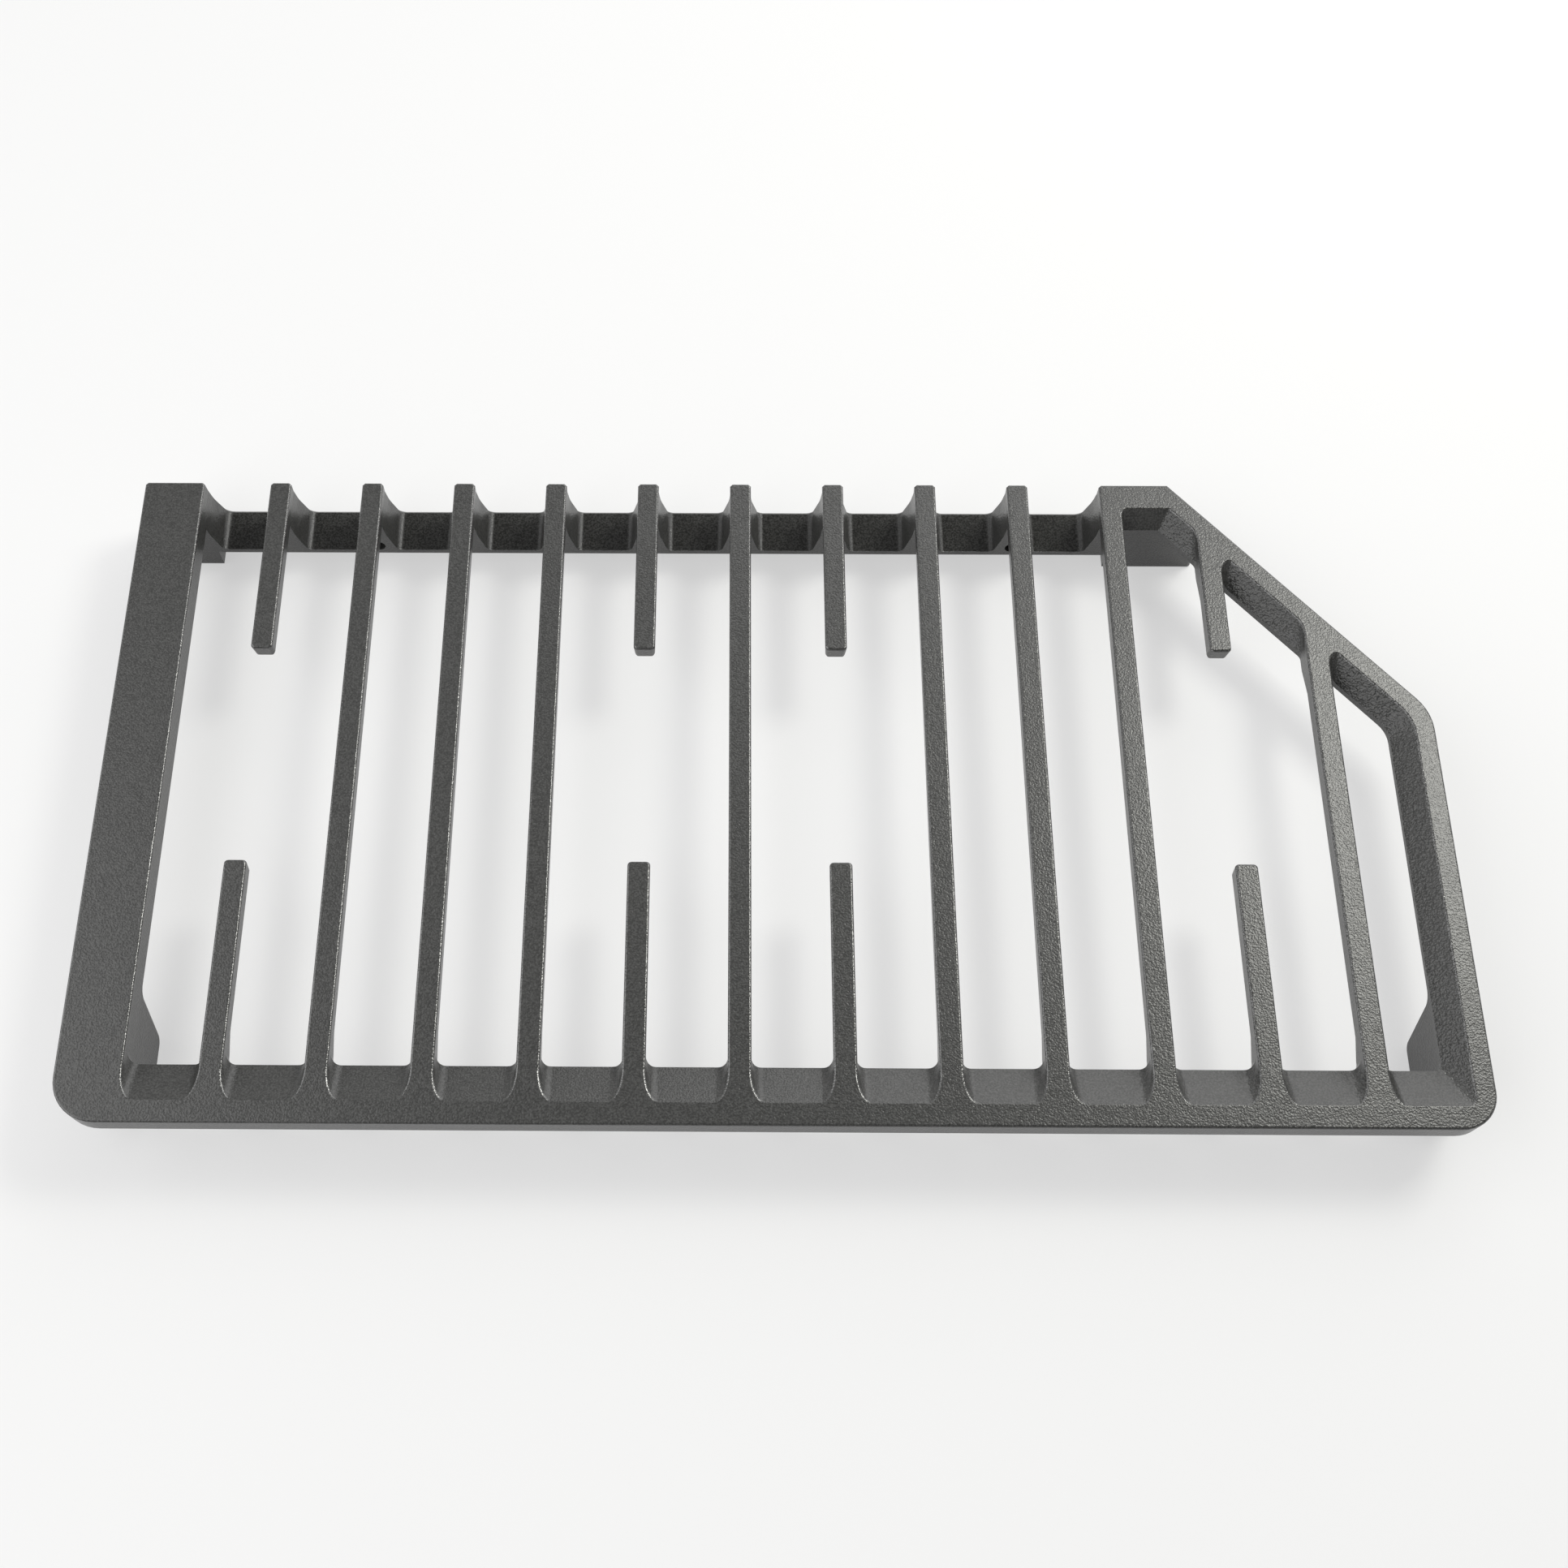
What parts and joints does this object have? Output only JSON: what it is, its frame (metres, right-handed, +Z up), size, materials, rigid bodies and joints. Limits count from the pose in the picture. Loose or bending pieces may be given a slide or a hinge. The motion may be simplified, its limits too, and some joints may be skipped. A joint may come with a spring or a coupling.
{
  "type": "hob pan support",
  "caption": "Cast-iron pan support for a gas hob: parallel bars with short fingers round the burners, rear legs on a rail, a bevelled rim and a cut-off corner.",
  "frame": {"origin": "middle of the plan box, on the plane the feet stand on", "axes": "+X along the long side towards the cut-off corner, +Y to the rear legs, +Z up"},
  "size_m": [0.468, 0.2456, 0.0332],
  "materials": {
    "enamelled_iron": "matt vitreous enamel"
  },
  "bodies": {
    "root": {"pan_support": "enamelled_iron"}
  },
  "joints": []
}
